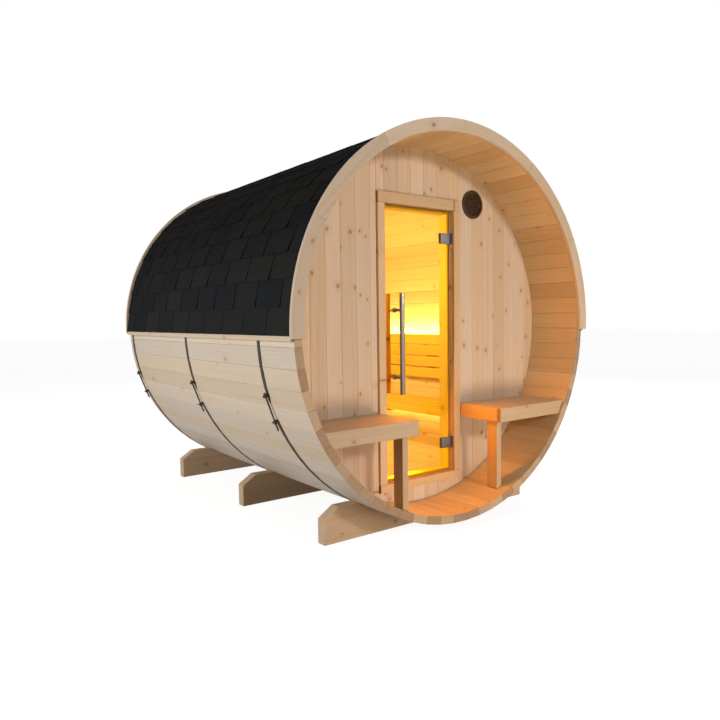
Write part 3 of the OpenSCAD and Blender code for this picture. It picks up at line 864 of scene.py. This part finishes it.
class SAUNA_OT_fascias(bpy.types.Operator):
    """Cut the arches over the ends of the staves and the battens under the eaves"""

    bl_idname = "sauna.fascias"
    bl_label = "Fascias and battens"

    def execute(self, context):
        timber = context.scene.sauna_timber
        finish = timber_of("trim")
        count, cuts, joint = 6, 12, 0.0004
        inner = timber.stave_radius - timber.stave_thickness
        for node in ("front_fascia", "rear_fascia"):
            low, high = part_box(node)
            outer = high.z - AXIS_Z
            start = math.asin((low.z - AXIS_Z) / outer)
            turn = (math.pi - 2 * start) / count
            half = (turn - joint / outer) / 2
            boards = []
            for i in range(count):
                middle = start + (i + 0.5) * turn
                ob = cube((inner, -half, 0), (outer, half, high.y - low.y))
                cut_across(ob, Y, [-turn / 2 + turn * k / cuts for k in range(1, cuts)])
                for vertex in ob.data.vertices:
                    radius, angle = vertex.co.x, vertex.co.y
                    vertex.co.x = radius * math.cos(angle)
                    vertex.co.y = radius * math.sin(angle)
                soften(ob, FASCIA_EDGE)
                grain(ob, Y, (node, i))
                ob.data.transform(
                    Matrix.Translation((0, high.y, AXIS_Z)) @ Matrix.Rotation(math.pi / 2, 4, "X")
                    @ Matrix.Rotation(middle, 4, "Z"))
                boards.append(ob)
            settle(join(boards), node + "_boards", finish, "fascia_spruce", "cabin", node)
        low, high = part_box("eave_battens")
        thick = 0.012
        battens = []
        for side in (-1, 1):
            near, far = sorted((side * (high.x - thick), side * high.x))
            battens.append(board((near, low.y, low.z), (far, high.y, high.z), Y,
                                 ("batten", side), BATTEN_EDGE))
        settle(join(battens), "eave_batten_strips", timber_of("staves"), "fascia_spruce", "cabin",
               "eave_battens")
        return {"FINISHED"}


class SAUNA_OT_roof(bpy.types.Operator):
    """Lay courses of shingles over both sides and cap the ridge"""

    bl_idname = "sauna.roof"
    bl_label = "Shingles"

    def execute(self, context):
        roof = context.scene.sauna_roof
        finish = finish_of("crushed_stone_felt", felt, tuple(roof.felt_tint))
        thick = roof.shingle_thickness
        low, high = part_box("roof_shingles_right")
        turn = math.pi / 2 / (roof.courses - EAVE_SHARE)
        base_r = math.hypot(low.x, high.z - AXIS_Z) - thick
        tab = self.tab(thick)
        for side in (1, -1):
            tabs = []
            for i in range(roof.courses):
                lower, upper = self.edges(i, turn, base_r, thick, roof.courses, high.x, low.z)
                tabs += self.course(roof, tab, side, i, lower, upper)
                if i == 0:
                    tabs.append(self.starter(tab, side, lower, upper, thick))
            sheet = join(tabs + [self.underlay(side, base_r, turn, roof.courses)])
            name = "right" if side > 0 else "left"
            settle(sheet, "shingles_" + name, finish, "shingle_felt", "cabin",
                   "roof_shingles_" + name)
        drop(tab)
        settle(self.ridge(base_r, thick), "ridge_caps", finish, "shingle_felt", "cabin")
        return {"FINISHED"}

    def tab(self, thick):
        """One tab, a metre wide and a metre long, with its lower edge rounded by wear."""
        ob = cube((-0.5, 0, -thick), (0.5, 1, 0))
        edit_with(ob, "EDGE", lambda a, b: max(a.y, b.y) < 0.5 and min(a.z, b.z) > -WELD)
        bpy.ops.mesh.bevel(offset=thick * 0.35, segments=2, affect="EDGES")
        leave_edit()
        return ob

    def edges(self, i, turn, base_r, thick, count, eave_x, eave_z):
        """The lower and upper outer edge of a course on the right side."""
        top = math.pi / 2 - (count - i - 1) * turn + (LAP if i < count - 1 else 0)
        upper = ring_point(base_r + thick, top, 0)
        if i == 0:
            return Vector((eave_x, 0, eave_z)), upper
        return ring_point(base_r + 2 * thick, math.pi / 2 - (count - i) * turn, 0), upper

    def starter(self, tab, side, lower, upper, thick):
        """An unbroken strip behind the slots of the lowest course."""
        strip = copy_of(tab)
        for vertex in strip.data.vertices:
            x, y, z = vertex.co.x * (BARREL_LEN - 4 * END_GAP), vertex.co.y, vertex.co.z * 0.35
            at = lower.lerp(upper, 0.004 + 0.99 * y)
            vertex.co = (side * (at.x - 0.6 * thick + z), (FRONT_Y + REAR_Y) / 2 + x, at.z)
        point_outwards(strip)
        number_board(strip, ("starter", side))
        return strip

    def course(self, roof, tab, side, i, lower, upper):
        """The tabs of a course; each lies a little out of line, is a little askew and lifts."""
        luck = random.Random("course %d %d" % (i, side))
        offset = (i * 0.5 + 0.12 * luck.uniform(-1, 1)) % 1.0 * roof.tab_pitch
        up = Vector((side * (upper.x - lower.x), 0, upper.z - lower.z))
        reach = up.length
        up.normalize()
        out = Vector((side * abs(up.z), 0, abs(up.x)))
        wide = up.cross(out)
        tabs = []
        start = FRONT_Y - roof.tab_pitch + offset
        k = 0
        while start + k * roof.tab_pitch < REAR_Y:
            y0 = start + k * roof.tab_pitch + roof.slot / 2 + luck.uniform(-0.003, 0.003)
            y1 = start + (k + 1) * roof.tab_pitch - roof.slot / 2 + luck.uniform(-0.003, 0.003)
            k += 1
            y0, y1 = max(y0, FRONT_Y + END_GAP), min(y1, REAR_Y - END_GAP)
            if y1 - y0 < NARROWEST_TAB:
                continue
            drop_edge = luck.uniform(-0.0015, 0.002) if i else 0.0
            corner = Vector((side * lower.x, (y0 + y1) / 2, lower.z)) - up * drop_edge
            tilt = luck.uniform(-0.006, 0.006)
            lift = luck.uniform(0.0, 0.0016) if i else 0.0
            one = copy_of(tab)
            width, length = y1 - y0, reach + drop_edge
            for vertex in one.data.vertices:
                x, y, z = vertex.co.x * width, vertex.co.y * length, vertex.co.z
                z += lift * (1 - vertex.co.y) ** 2 * (1 + vertex.co.x)
                y += tilt * x * (1 - vertex.co.y)
                vertex.co = corner + wide * x + up * y + out * z
            number_board(one, ("tab", side, i, k))
            tabs.append(one)
        return tabs

    def underlay(self, side, base_r, turn, count):
        """The felt under the courses, seen through the slots."""
        clear_selection()
        first = math.pi / 2 - (count - 1) * turn
        bpy.ops.mesh.primitive_plane_add(size=1)
        ob = bpy.context.object
        corners = [(y, up) for up in (0.0002, 0.0012) for y in (FRONT_Y, REAR_Y)]
        for vertex, (y, up) in zip(ob.data.vertices, corners):
            vertex.co = ring_point(base_r + up, first, y)
            vertex.co.x *= side
        edit_with(ob)
        bpy.ops.mesh.spin(steps=2 * count, angle=math.pi / 2 - first, center=(0, 0, AXIS_Z),
                          axis=(0, side, 0))
        leave_edit()
        point_outwards(ob)
        number_board(ob, ("underlay", side))
        return ob

    def ridge(self, base_r, thick):
        """Caps over the ridge, each lapping the one behind it."""
        radius = base_r + thick + 0.0004
        half, length, step, cuts = 0.125, 0.172, 0.1435, 8
        cap = cube((-half, 0, 0), (half, length, thick))
        cut_across(cap, X, [-half + 2 * half * k / cuts for k in range(1, cuts)])
        soften(cap, 0.001)
        caps = []
        count = math.ceil(BARREL_LEN / step)
        for k in range(count):
            one = copy_of(cap)
            luck = random.Random("cap %d" % k)
            swing = luck.uniform(-0.004, 0.004)
            for vertex in one.data.vertices:
                x, y, z = vertex.co
                rise = radius + z + (1 - y / length) * thick * 1.25
                angle = x / radius + swing * y
                along = min(FRONT_Y + k * step + y, REAR_Y)
                vertex.co = (rise * math.sin(angle), along, AXIS_Z + rise * math.cos(angle))
            number_board(one, ("cap", k))
            caps.append(one)
        drop(cap)
        return join(caps)


class SAUNA_OT_bands(bpy.types.Operator):
    """Bend the steel bands with their lugs, tension rods, nuts and washers"""

    bl_idname = "sauna.bands"
    bl_label = "Bands and rods"

    # Radii and lengths of a rod past its lugs, its nuts and its washers
    ROD_R, ROD_ABOVE, ROD_BELOW, HALF_LUG = 0.0045, 0.0185, 0.05, 0.0034
    NUT_R, NUT, WASHER_R, WASHER = 0.0096, 0.0076, 0.0120, 0.0016

    def execute(self, context):
        roof = context.scene.sauna_roof
        black = finish_of("blackened_band_steel", steel, tuple(roof.band_tint), roughness=0.6,
                          metal=0.1, wear=0.5, gloss=0.2)
        plated = finish_of("plated_rod_steel", threaded_steel, (0.075, 0.055, 0.042))
        rods = []
        for name in ("front", "middle", "rear"):
            node = "band_" + name
            low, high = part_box(node)
            strap, *lugs = sorted(solids_of(node), key=lambda ob: -max(ob.dimensions))
            smooth(strap, 30)
            for lug in lugs:
                rounded(lug, TRIM_EDGE, 3, 50)
            lugs.sort(key=lambda lug: -self.centre(lug).z)
            upper, lower = (self.centre(lug) for lug in lugs)
            rods += self.rod(upper, lower)
            tongue = self.tongue(upper, low.y, high.y)
            settle(join([strap, tongue] + lugs), node + "_strap", black, "band_steel", "cabin",
                   node)
        settle(join(rods), "tension_rods_threaded", plated, "rod_steel", "cabin", "tension_rods")
        return {"FINISHED"}

    def centre(self, lug):
        return sum((v.co for v in lug.data.vertices), Vector()) / len(lug.data.vertices)

    def tongue(self, upper, near, far):
        """The strap's own end, which runs on under the rod and tapers."""
        angle = math.atan2(upper.z - AXIS_Z, upper.x) % (2 * math.pi)
        thick, length, start = 0.002, 0.040, 0.0015
        end = cube((0, near, -length), (thick, far, -start))
        edit_with(end, "FACE", lambda face: face.normal.z < -0.9)
        bpy.ops.transform.resize(value=(1, 0.3, 1), center_override=(0, (near + far) / 2, 0))
        leave_edit()
        soften(end, 0.0006, 2)
        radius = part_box("band_middle")[1].x - thick
        end.data.transform(round_axis(math.pi - angle) @ Matrix.Diagonal((-1, 1, 1, 1))
                           @ Matrix.Translation((radius, 0, 0)))
        point_outwards(end)
        return end

    def rod(self, upper, lower):
        """A rod through both lugs, with a washer and a nut outside each of them."""
        line = (lower - upper).normalized()
        start, end = upper - line * self.ROD_ABOVE, lower + line * self.ROD_BELOW
        rod = rounded(cylinder(self.ROD_R, start, end, 20), 0.0008)
        pieces = [self.threaded(rod, line)]
        for at, out in ((upper, -line), (lower, line)):
            seat = at + out * self.HALF_LUG
            washer = cylinder(self.WASHER_R, seat, seat + out * self.WASHER, 28)
            rounded(washer, 0.0004, 1, 40)
            base = seat + out * (self.WASHER + 0.0001)
            nut = soften(cylinder(self.NUT_R, base, base + out * self.NUT, 6), 0.0007, 2, 50)
            pieces += [self.threaded(washer, None), self.threaded(nut, None)]
        return pieces

    def threaded(self, ob, line):
        """Marks how far along the rod a point lies; other pieces stay plain."""
        run = ob.data.attributes.new("thread", "FLOAT", "POINT")
        values = [v.co.dot(line) if line else THREAD_PITCH / 4 for v in ob.data.vertices]
        run.data.foreach_set("value", values)
        return ob


class SAUNA_OT_cradles(bpy.types.Operator):
    """Shape the cradles that carry the barrel"""

    bl_idname = "sauna.cradles"
    bl_label = "Cradles"

    def execute(self, context):
        finish = timber_of("cradles")
        for name in ("front", "middle", "rear"):
            node = "cradle_" + name
            plank = solids_of(node)[0]
            soften(plank, SLAT_EDGE, 2, 30)
            grain(plank, X, node)
            settle(plank, node + "_plank", finish, "cradle_spruce", "cabin", node)
        return {"FINISHED"}


class SAUNA_OT_door_frame(bpy.types.Operator):
    """Plane the door frame and its inner beads"""

    bl_idname = "sauna.door_frame"
    bl_label = "Door frame"

    def execute(self, context):
        finish = timber_of("frame")
        for node, along in (("door_jamb_left", Z), ("door_jamb_right", Z), ("door_head", X),
                            ("door_sill", X)):
            low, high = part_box(node)
            piece = board(low, high, along, node, TRIM_EDGE)
            settle(piece, node + "_board", finish, "frame_spruce", "cabin", node)
        beads = []
        for k, bead in enumerate(solids_of("door_stops")):
            soften(bead, POST_EDGE, 3)
            size = bead.dimensions
            beads.append(grain(bead, Z if size.z > size.x else X, ("bead", k)))
        settle(join(beads), "door_beads", timber_of("benches"), "frame_spruce", "cabin",
               "door_stops")
        return {"FINISHED"}


class SAUNA_OT_glass_door(bpy.types.Operator):
    """Hang the amber glass with its handles and hinges"""

    bl_idname = "sauna.glass_door"
    bl_label = "Glass door"

    def execute(self, context):
        door = context.scene.sauna_door
        low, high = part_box("door_glass")
        glass = soften(cube(low, high), 0.0012, 2)
        mark_faces(glass, "rim", lambda face: abs(face.normal.y) < 0.95)
        amber = finish_of("toughened_amber_glass", amber_glass, tuple(door.glass_tint))
        settle(glass, "door_pane", amber, "amber_glass", "door", "door_glass")
        brushed = finish_of(
            "brushed_handle_steel", steel, tuple(door.steel_tint), 0.30, (1, 1, 0.02))
        satin = finish_of("satin_hinge_steel", steel, tuple(door.hinge_tint), 0.36, (1, 1, 0.05))
        outside = self.handle(door, "handle_outside", -1)
        settle(outside, "handle_outside_bar", brushed, "handle_steel", "door", "handle_outside")
        inside = self.handle(door, "handle_inside", 1)
        grain(inside, Z, "handle")
        settle(inside, "handle_inside_bar", timber_of("handle"), "handle_wood", "door",
               "handle_inside")
        clamps = [rounded(ob, 0.0012, 2, 50) for ob in solids_of("hinge_clamps")]
        screws = self.screws()
        settle(join(clamps + screws), "hinge_plates", satin, "hinge_steel", "door", "hinge_clamps")
        brackets = [rounded(ob, 0.0005, 1, 50) for ob in solids_of("hinge_brackets")]
        settle(join(brackets), "hinge_ears", satin, "hinge_steel", "cabin", "hinge_brackets")
        return {"FINISHED"}

    def handle(self, door, node, way):
        """A bar with rounded ends on two posts, each with a collar against the glass."""
        low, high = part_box(node)
        radius = door.bar_diameter / 2
        x, z = (low.x + high.x) / 2, (low.z + high.z) / 2
        bar_y = low.y + radius if way < 0 else high.y - radius
        glass_y = high.y if way < 0 else low.y
        bar = cylinder(radius, (x, bar_y, low.z), (x, bar_y, high.z), 40)
        edit_with(bar, "FACE", lambda face: abs(face.normal.z) > 0.9)
        bpy.ops.mesh.inset(thickness=radius * 0.45)
        bpy.ops.mesh.inset(thickness=radius * 0.12, depth=-0.0012)
        leave_edit()
        pieces = [rounded(bar, TRIM_EDGE, 3)]
        for at in (-1, 1):
            post_z = z + at * door.post_span / 2
            post = cylinder(door.post_diameter / 2, (x, bar_y, post_z), (x, glass_y, post_z), 28)
            pieces.append(smooth(post))
            collar = cylinder(door.post_diameter * 0.95, (x, glass_y + way * COLLAR, post_z),
                              (x, glass_y, post_z), 32)
            pieces.append(rounded(collar, 0.0012, 2))
        return join(pieces)

    def screws(self):
        """Four socket screws on the outer plate of each hinge."""
        low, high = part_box("hinge_clamps")
        head = cylinder(HEAD_R, (0, 0.0004, 0), (0, -HEAD_HIGH, 0), 24)
        edit_with(head, "FACE", lambda face: face.normal.y < -0.9)
        bpy.ops.mesh.inset(thickness=HEAD_RIM)
        bpy.ops.mesh.inset(thickness=0.0002, depth=-SOCKET_DEEP)
        leave_edit()
        rounded(head, 0.0003)
        half_plate, columns, rise = 0.030, (0.016, 0.042), 0.016
        screws = [copy_of(head, Matrix.Translation((low.x + x, low.y, z + dz)))
                  for z in (low.z + half_plate, high.z - half_plate)
                  for x in columns for dz in (-rise, rise)]
        drop(head)
        return screws


class SAUNA_OT_vent(bpy.types.Operator):
    """Fit the round vent with its louvres"""

    bl_idname = "sauna.vent"
    bl_label = "Vent"

    def execute(self, context):
        roof = context.scene.sauna_roof
        grille = join(solids_of("vent_grille"))
        rounded(grille, 0.0007, 2, 50)
        low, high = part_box("vent_grille")
        middle = Vector(((low.x + high.x) / 2, high.y, (low.z + high.z) / 2))
        front, back = (middle + Vector((0, y, 0)) for y in (0.004, 0.007))
        damper = cylinder((high.x - low.x) / 2 - VENT_RIM - 0.0005, front, back, 48)
        grille = join([grille, rounded(damper, 0.0006)])
        brown = finish_of("brown_vent_plastic", moulded_plastic, tuple(roof.vent_tint))
        settle(grille, "vent_louvres", brown, "vent_plastic", "cabin", "vent_grille")
        return {"FINISHED"}


class SAUNA_OT_porch(bpy.types.Operator):
    """Build the two porch benches"""

    bl_idname = "sauna.porch"
    bl_label = "Porch benches"

    def execute(self, context):
        finish = timber_of("porch")
        for name, side in (("left", -1), ("right", 1)):
            seat = planks_of("porch_seat_" + name, X, ("porch seat", name), TRIM_EDGE,
                             lambda ob: ob.bound_box[0][Y])
            settle(join(seat), "porch_boards_" + name, finish, "porch_spruce", "cabin",
                   "porch_seat_" + name)
            settle(self.apron(name, side), "porch_fronts_" + name, finish, "porch_spruce", "cabin",
                   "porch_apron_" + name)
        legs = planks_of("porch_legs", Z, ("leg",), POST_EDGE)
        settle(join(legs), "porch_leg_posts", finish, "porch_spruce", "cabin", "porch_legs")
        return {"FINISHED"}

    def apron(self, name, side):
        """The front board of a bench, cut to the staves, and its return to the wall."""
        low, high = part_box("porch_apron_" + name)
        thick, joint = 0.022, 0.0004
        inner, outer = (high.x, low.x) if side < 0 else (low.x, high.x)
        span = sorted((inner, outer))

        def cut(point):
            if abs(point.x - outer) < 1e-4:
                point.x = side * half_chord(point.z - AXIS_Z)

        front = board((span[0], low.y, low.z), (span[1], low.y + thick, high.z), X,
                      ("apron", name), TRIM_EDGE, cut)
        edge = sorted((inner, inner + side * thick))
        back = board((edge[0], low.y + thick + joint, low.z), (edge[1], high.y, high.z), Y,
                     ("return", name), TRIM_EDGE)
        return join([front, back])


class SAUNA_OT_benches(bpy.types.Operator):
    """Build the slatted seats and backrests inside"""

    bl_idname = "sauna.benches"
    bl_label = "Inner benches"

    def execute(self, context):
        finish = timber_of("benches")
        for node, along in (("bench_seat_left", Y), ("bench_seat_right", Y), ("bench_bearers", X),
                            ("backrest_left", Y), ("backrest_right", Y), ("backrest_uprights", Z)):
            slats = planks_of(node, along, (node,), SLAT_EDGE)
            settle(join(slats), node + "_timber", finish, "bench_spruce", "cabin", node)
        return {"FINISHED"}


class SAUNA_OT_light_strips(bpy.types.Operator):
    """Fit the light strips behind the backrests and under the seats"""

    bl_idname = "sauna.light_strips"
    bl_label = "Light strips"

    def execute(self, context):
        strips = [soften(strip, BATTEN_EDGE, 3) for strip in solids_of("light_strips")]
        milky = finish_of("milky_diffuser", glowing_strip, (1.0, 0.86, 0.62), strength=9.0)
        settle(join(strips), "light_strip_covers", milky, "light_diffuser", "cabin",
               "light_strips")
        return {"FINISHED"}


class SAUNA_OT_stage(bpy.types.Operator):
    """Set the floor, the light and the camera"""

    bl_idname = "sauna.stage"
    bl_label = "Stage"

    # The photograph's view: focal length, sensor, place, and yaw, pitch and roll in degrees
    LENS, SENSOR = 32.53, 36.0
    EYE, TURNS = (-2.4618, -3.4698, 1.1183), (36.899, -3.750, 0.777)
    # How white the floor looks, the warm light that it throws back, and the seat strips' share
    FLOOR_GLOW, FLOOR_BOUNCE, SEAT_SHARE = 0.90, (0.95, 0.66, 0.40), 0.3

    def execute(self, context):
        stage = context.scene.sauna_stage
        context.scene.view_settings.view_transform = "Standard"
        self.floor(stage)
        self.sky(context.scene, stage)
        self.lamps(stage)
        self.camera(context.scene)
        return {"FINISHED"}

    def floor(self, stage):
        clear_selection()
        bpy.ops.mesh.primitive_plane_add(size=80)
        floor = bpy.context.object
        floor.name = "studio_floor"
        web = Web(bpy.data.materials.new("studio_floor"))
        seen, tint = web.seen(), tuple(stage.floor_tint)
        web.finish(
            Base_Color=web.mix(seen, shade(tint, self.FLOOR_BOUNCE), tint), Roughness=0.9,
            Specular_IOR_Level=0.1, Emission_Color=(1, 1, 1, 1),
            Emission_Strength=web.times(seen, self.FLOOR_GLOW))
        floor.data.materials.append(web.owner)

    def sky(self, scene, stage):
        """Plain white to the eye, and a weak even light on everything else."""
        scene.world = bpy.data.worlds.new("studio_sky")
        web = Web(scene.world)
        level = web.ramp(web.seen(), stage.sky, 1.0)
        web.finish(Color=(1, 1, 1, 1), Strength=level)

    def lamp(self, name, power, colour, place, target, wide, tall, side=(1, 0, 0), seen=True):
        """An area lamp that faces a target, with its wide side along a given direction."""
        data = bpy.data.lights.new(name, "AREA")
        data.energy = power
        data.color = colour
        data.shape = "RECTANGLE"
        data.size, data.size_y = wide, tall
        lamp = put_in(name, data)
        back = (Vector(place) - Vector(target)).normalized()
        up = back.cross(Vector(side)).normalized()
        turn = Matrix((up.cross(back), up, back)).transposed().to_4x4()
        lamp.matrix_world = Matrix.Translation(place) @ turn
        lamp.visible_camera = False
        lamp.visible_glossy = seen
        lamp.visible_transmission = False
        return lamp

    def lamps(self, stage):
        barrel, level, along = (0, 0, 0.95), (1, 0, 0), (0, 1, 0)
        self.lamp("key_softbox", stage.key_power, (1.0, 0.97, 0.93), place=(0.2, -7.0, 3.1),
                  target=(0, 0, 1.0), wide=0.7, tall=0.7)
        self.lamp("fill_softbox", stage.fill_power, (0.98, 0.99, 1.0), place=(-6.5, -0.45, 1.8),
                  target=barrel, wide=1.4, tall=3.0, side=along)
        self.lamp("rear_softbox", stage.rear_power, (1.0, 0.99, 0.97), place=(5.2, 4.8, 2.6),
                  target=barrel, wide=3.5, tall=3.0, side=(0.68, -0.73, 0))
        strip_low, strip_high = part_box("light_strips")
        seat_low, seat_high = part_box("bench_seat_right")
        length = strip_high.y - strip_low.y
        middle = (strip_low.y + strip_high.y) / 2
        warm, bluish = (1.0, 0.96, 0.90), (0.86, 0.78, 1.0)
        for side in (-1, 1):
            x, z = side * (WALL_R - 0.045), strip_high.z + 0.004
            self.lamp("backrest_glow", stage.strip_power, bluish, place=(x, middle, z),
                      target=(x + side * 0.05, middle, z + 0.05), wide=length, tall=0.012,
                      side=along, seen=False)
            x, z = side * (seat_high.x - 0.05), seat_low.z - 0.016
            self.lamp("seat_glow", stage.strip_power * self.SEAT_SHARE, warm,
                      place=(x, middle, z), target=(x - side * 0.2, middle, z - 0.3),
                      wide=length, tall=0.014, side=along, seen=False)
        self.lamp("cabin_glow", stage.cabin_power, warm, place=(-0.35, middle, AXIS_Z + 0.45),
                  target=(0.6, middle, AXIS_Z - 0.1), wide=length * 0.8, tall=0.5, side=along,
                  seen=False)
        low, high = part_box("door_glass")
        x, z = (low.x + high.x) / 2, (low.z + high.z) / 2
        self.lamp("door_glow", stage.glow_power, (1.0, 0.34, 0.004),
                  place=(x - 0.08, low.y - 0.03, z - 0.22), target=(x, low.y - 1.0, z - 0.40),
                  wide=0.20, tall=1.1, side=level, seen=False)
        self.lamp("floor_bounce", stage.bounce_power, (1.0, 0.84, 0.66), place=(0.2, -2.6, 0.05),
                  target=(0, -0.9, 2.0), wide=1.6, tall=1.0, side=level, seen=False)

    def camera(self, scene):
        data = bpy.data.cameras.new("photo_view")
        data.lens = self.LENS
        data.sensor_width = self.SENSOR
        data.sensor_fit = "HORIZONTAL"
        data.clip_end = 200
        camera = put_in("photo_view", data)
        yaw, pitch, roll = (math.radians(turn) for turn in self.TURNS)
        ahead = Vector((math.sin(yaw) * math.cos(pitch), math.cos(yaw) * math.cos(pitch),
                        math.sin(pitch)))
        level = Vector((math.cos(yaw), -math.sin(yaw), 0))
        down = ahead.cross(level)
        right = level * math.cos(roll) + down * math.sin(roll)
        below = down * math.cos(roll) - level * math.sin(roll)
        turn = Matrix((right, -below, -ahead)).transposed().to_4x4()
        camera.matrix_world = Matrix.Translation(self.EYE) @ turn
        scene.camera = camera


class SAUNA_PT_panel(bpy.types.Panel):
    """Pieces and finishes of the barrel sauna"""

    bl_idname = "SAUNA_PT_panel"
    bl_label = "Barrel Sauna"
    bl_space_type = "VIEW_3D"
    bl_region_type = "UI"
    bl_category = "Sauna"

    def draw(self, context):
        layout = self.layout
        for operator in OPERATORS:
            layout.operator(operator.bl_idname)
        for settings in GROUPS:
            box = layout.box()
            group = getattr(context.scene, settings)
            for name in group.__annotations__:
                box.prop(group, name)


OPERATORS = (
    SAUNA_OT_staves, SAUNA_OT_end_walls, SAUNA_OT_fascias, SAUNA_OT_roof, SAUNA_OT_bands,
    SAUNA_OT_cradles, SAUNA_OT_door_frame, SAUNA_OT_glass_door, SAUNA_OT_vent, SAUNA_OT_porch,
    SAUNA_OT_benches, SAUNA_OT_light_strips, SAUNA_OT_stage,
)
GROUPS = {"sauna_timber": SaunaTimber, "sauna_roof": SaunaRoof, "sauna_door": SaunaDoor,
          "sauna_stage": SaunaStage}
CLASSES = (*GROUPS.values(), *OPERATORS, SAUNA_PT_panel)


def register():
    for kind in CLASSES:
        bpy.utils.register_class(kind)
    for name, group in GROUPS.items():
        setattr(bpy.types.Scene, name, PointerProperty(type=group))


def unregister():
    for name in GROUPS:
        delattr(bpy.types.Scene, name)
    for kind in reversed(CLASSES):
        bpy.utils.unregister_class(kind)


def main():
    register()
    bpy.ops.sauna.staves()
    bpy.ops.sauna.end_walls()
    bpy.ops.sauna.fascias()
    bpy.ops.sauna.roof()
    bpy.ops.sauna.bands()
    bpy.ops.sauna.cradles()
    bpy.ops.sauna.door_frame()
    bpy.ops.sauna.glass_door()
    bpy.ops.sauna.vent()
    bpy.ops.sauna.porch()
    bpy.ops.sauna.benches()
    bpy.ops.sauna.light_strips()
    bpy.ops.sauna.stage()


if __name__ == "__main__":
    main()
